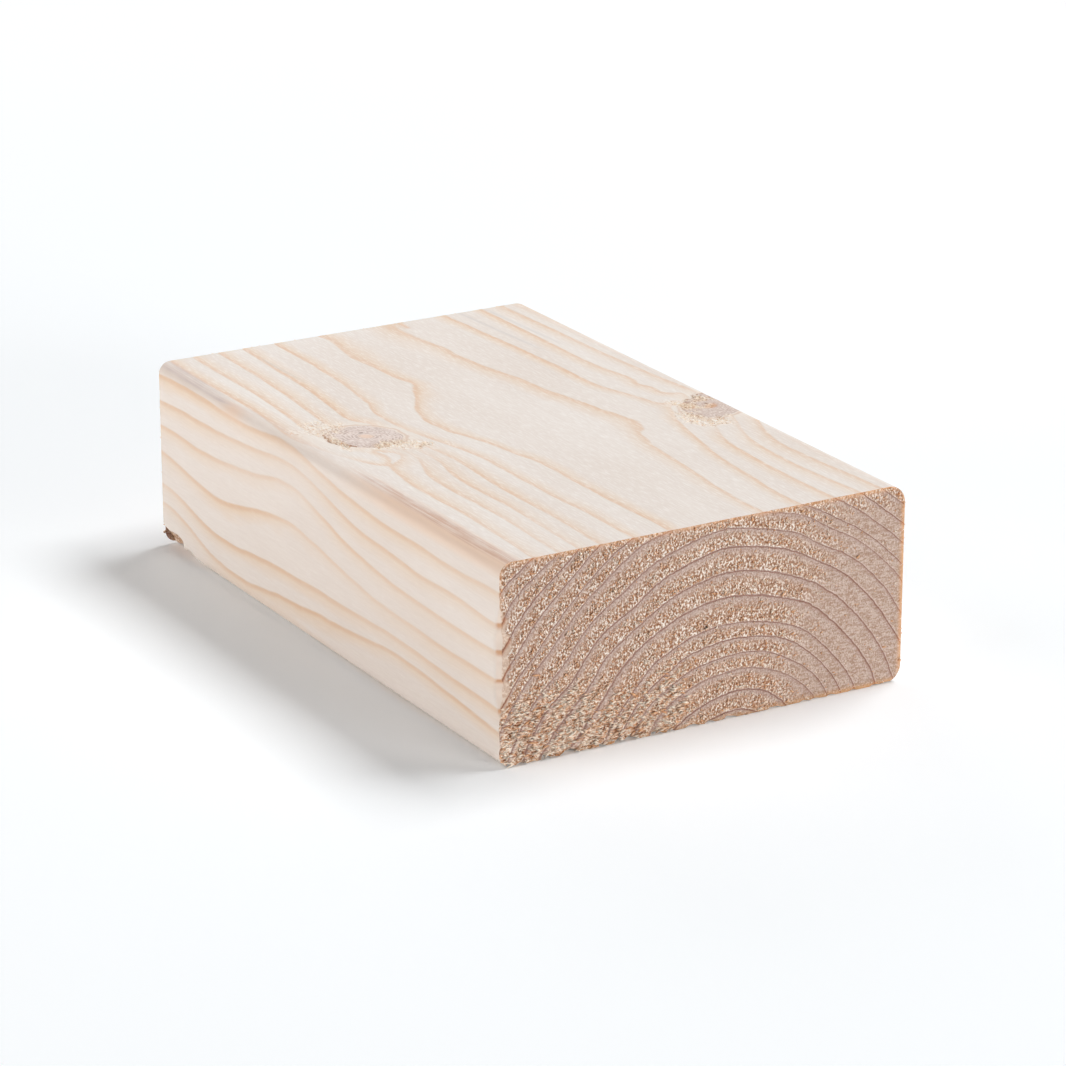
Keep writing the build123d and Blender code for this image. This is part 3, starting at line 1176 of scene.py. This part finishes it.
# pale flecks: partly pale fibre, partly a painted highlight where fibres would catch the light; dark flecks:
# partly brown wood, partly painted shade in the gaps between fibres
pale_fleck_and_highlight = ramp(fleck, times_plus(torn, -0.03, 0.54), 0.60)
dark_fleck_and_shade = fall(fleck, 0.38, times_plus(torn, 0.02, 0.47))
young = times(fall(year, 0.30, 0.96), pulled)
fleck_share = times_plus(young, 0.75, times_plus(torn, 0.22, 0.10))
colour = paint(colour, blend(torn, (144, 96, 64), (136, 80, 44)), dark_fleck_and_shade, fleck_share)
colour = paint(colour, blend(torn, (255, 246, 236), (255, 240, 224)), pale_fleck_and_highlight, fleck_share)
dash = noise(coords, (900.0, 650.0, 2400.0))
dash_share = times_plus(calm, 0.70, 0.10)
colour = paint(colour, (164, 130, 106), times(ramp(dash, 0.50, 0.64), dash_share), 0.65)
colour = paint(colour, (220, 202, 192), times(fall(dash, 0.36, 0.48), dash_share), 0.45)
colour = paint(colour, (162, 118, 100), times(ramp(year, 0.74, 0.97), calm), 0.40)
colour = paint(colour, (226, 208, 198), fall(year, 0.02, 0.08), 0.30)
print("flecks and dashes of", sawn.name, "ready")

# %% Edges, ring lines and finish of the sawn ends
# painted light: an orange glow on the rims where light would come through, which also turns the ring lines
# there red-orange
painted_glow = attribute("painted_rim_glow")
broken_wood = blend(rings["Core"], (226, 200, 180), (188, 124, 82))
colour = paint(colour, broken_wood, attribute("broken_front"), 0.70)
colour = paint(colour, (236, 178, 126), painted_glow, 0.75)
colour = paint(colour, (198, 150, 92), attribute("low_rim"), 0.45)
colour = paint(colour, blend(painted_glow, (136, 92, 76), (206, 122, 66)), rings["Line"], 0.85)
pores = noise(coords, (3800.0, 4200.0, 3600.0), 2.0, 0.6)
end_height = times_plus(fleck, fleck_share, times(pores, 0.30))
end_height = times_plus(rings["Line"], -0.35, end_height)
end_material({"Base Color": colour, "Roughness": 0.82, "Specular IOR Level": 0.20,
              "Normal": relief(end_height, 0.60, 0.0003)})
stud.data.materials.append(planed)
stud.data.materials.append(sawn)
print("material", sawn.name)

# %% [markdown]
# ## The torn fibres
# A stub of fibre is painted brown at its root, as shade for the dark of the cut, and pale towards its tip,
# partly its own tone and partly painted light for the light that passes through it. No two stubs are the
# same, so each has a tone of its own, kept on its points.

# %% Material: torn fibre
torn_fibre = new_material("torn_fibre")
colour = blend(ramp(attribute("fibre_tone"), 0.10, 0.75), (228, 176, 134), (255, 241, 224))
# painted shade: each stub darkens to brown towards its root
colour = blend(ramp(attribute("fibre_way"), 0.0, 0.6), (207, 149, 104), colour)
end_material({"Base Color": colour, "Roughness": 0.60, "Specular IOR Level": 0.30})
for tufts in (right_fibres, corner_fibres, left_fibres, planed_tufts):
    tufts.data.materials.append(torn_fibre)
print("material", torn_fibre.name)

# %% [markdown]
# ## Floor, light and camera
# The stud lies on a white floor in soft light: a white surround, a wide key from the back that throws the
# shadow to the front, a low fill on the front face that hardly reaches the floor, a weak lamp for the
# arris above it, and a low lamp for each sawn end. Together they light the upper face and the open floor
# to a level of about 1, where a colour shows as it is written. The floor is very slightly cool, which
# evens out the warm light that the wood throws into its shadow, and away from the stud it turns plain
# white, as the lamps do not reach so far. Seen from below it is clear, so that the underside shows.

# %% White floor
floor_half = 4000.0
floor_drop = 0.05
floor_own_light = 0.055
far_floor_starts, far_floor_full = 0.25, 0.80
cool_white = (0.955, 0.98, 1.0, 1.0)
plain_white = (1.0, 1.0, 1.0, 1.0)
floor_corners = np.array([(-1, -1), (1, -1), (1, 1), (-1, 1)]) * floor_half
floor_points = np.column_stack([floor_corners, np.full(4, -floor_drop)])
floor = mesh_object("floor", floor_points, np.array([[0, 1, 2, 3]]))


def seen_directly():
    """1 for the rays that show the background: from the camera, in a gloss or through glass."""
    path = add("ShaderNodeLightPath").outputs
    mirrored = calc("MAXIMUM", path["Is Glossy Ray"], path["Is Transmission Ray"])
    return calc("MAXIMUM", path["Is Camera Ray"], mirrored)


def shader(kind, inputs=None):
    """What a shader node puts out."""
    return add(kind, inputs).outputs[0]


ground = new_material("white_ground")
seen = seen_directly()
matte = shader("ShaderNodeBsdfDiffuse", {"Color": cool_white})
own_light = shader("ShaderNodeEmission", {"Color": plain_white, "Strength": times(seen, floor_own_light)})
near_floor = shader("ShaderNodeAddShader", {0: matte, 1: own_light})
far_floor = shader("ShaderNodeEmission", {"Color": plain_white, "Strength": 1.0})
from_stud = vector_sum("LENGTH", add("ShaderNodeTexCoord").outputs["Object"], result="Value")
far_share = times(seen, ramp(from_stud, far_floor_starts, far_floor_full))
sheet = shader("ShaderNodeMixShader", {0: far_share, 1: near_floor, 2: far_floor})
from_below = add("ShaderNodeNewGeometry").outputs["Backfacing"]
clear = shader("ShaderNodeBsdfTransparent")
one_sided = shader("ShaderNodeMixShader", {0: from_below, 1: sheet, 2: clear})
add("ShaderNodeOutputMaterial", {"Surface": one_sided})
floor.data.materials.append(ground)
print("floor ready")

# %% White surround
surround_level = 0.10
surround = bpy.data.worlds.new("white_surround")
bpy.context.scene.world = surround
surround.use_nodes = True
surround.node_tree.nodes.clear()
bench["tree"] = surround.node_tree
level = times_plus(seen_directly(), 1.0 - surround_level, surround_level)
sky = shader("ShaderNodeBackground", {"Color": plain_white, "Strength": level})
add("ShaderNodeOutputWorld", {"Surface": sky})
print("surround ready")

# %% Soft lamps
stud_middle = Vector((0.0, 0.0, 0.02))


def soft_lamp(name, direction, distance, wide, high, level, colour=(1.0, 1.0, 1.0)):
    """A lamp of a given width and height that faces the stud from a direction, given as x, y and z.

    A level of 1 alone would show a white sheet that faces the lamp as white: power is the level times
    the square of pi times the square of the distance.
    """
    lamp = bpy.data.lights.new(name, "AREA")
    lamp.shape = "RECTANGLE"
    lamp.size = wide
    lamp.size_y = high
    lamp.energy = level * (math.pi * distance) ** 2
    lamp.color = colour
    made = bpy.data.objects.new(name, lamp)
    bpy.context.scene.collection.objects.link(made)
    made.location = stud_middle + Vector(direction).normalized() * distance
    made.rotation_euler = (stud_middle - made.location).to_track_quat("-Z", "Y").to_euler()
    print(name, "power", round(lamp.energy, 2))


soft_lamp("key_lamp", (0.0, 0.61, 1.0), distance=2.5, wide=1.6, high=0.9, level=0.78)
soft_lamp("fill_lamp", (-0.30, -1.0, 0.11), distance=1.2, wide=0.7, high=0.2, level=0.47,
          colour=(1.0, 0.99, 0.98))
soft_lamp("front_lamp", (0.0, -0.8, 0.7), distance=1.6, wide=0.8, high=0.5, level=0.13)
soft_lamp("right_lamp", (1.0, 0.25, 0.18), distance=1.6, wide=0.6, high=0.5, level=0.44)
soft_lamp("left_lamp", (-1.0, 0.2, 0.27), distance=1.6, wide=0.8, high=0.8, level=0.20)

# %% Camera
view_target = Vector((0.00342, 0.002384, 0.019))
view_turn, view_rise, view_distance = math.radians(59.698), math.radians(19.563), 0.96243
back = Vector((math.sin(view_turn) * math.cos(view_rise), -math.cos(view_turn) * math.cos(view_rise),
               math.sin(view_rise)))
camera = bpy.data.objects.new("camera", bpy.data.cameras.new("camera"))
bpy.context.scene.collection.objects.link(camera)
camera.data.sensor_width = 36.0
camera.data.lens = 144.63
camera.location = view_target + back * view_distance
camera.rotation_euler = (-back).to_track_quat("-Z", "Y").to_euler()
bpy.context.scene.camera = camera
bpy.context.scene.view_settings.view_transform = "Standard"
print("camera at", [round(value, 4) for value in camera.location])

# %% [markdown]
# ## Riding on the imported body
# Every piece rides on the one body of the imported part. The block stands for the imported solid, which keeps
# its place for collision.

# %% Ride, and hide the imported solid
for piece in (stud, right_fibres, corner_fibres, left_fibres, planed_tufts):
    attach(piece, "root")
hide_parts("timber_stud")
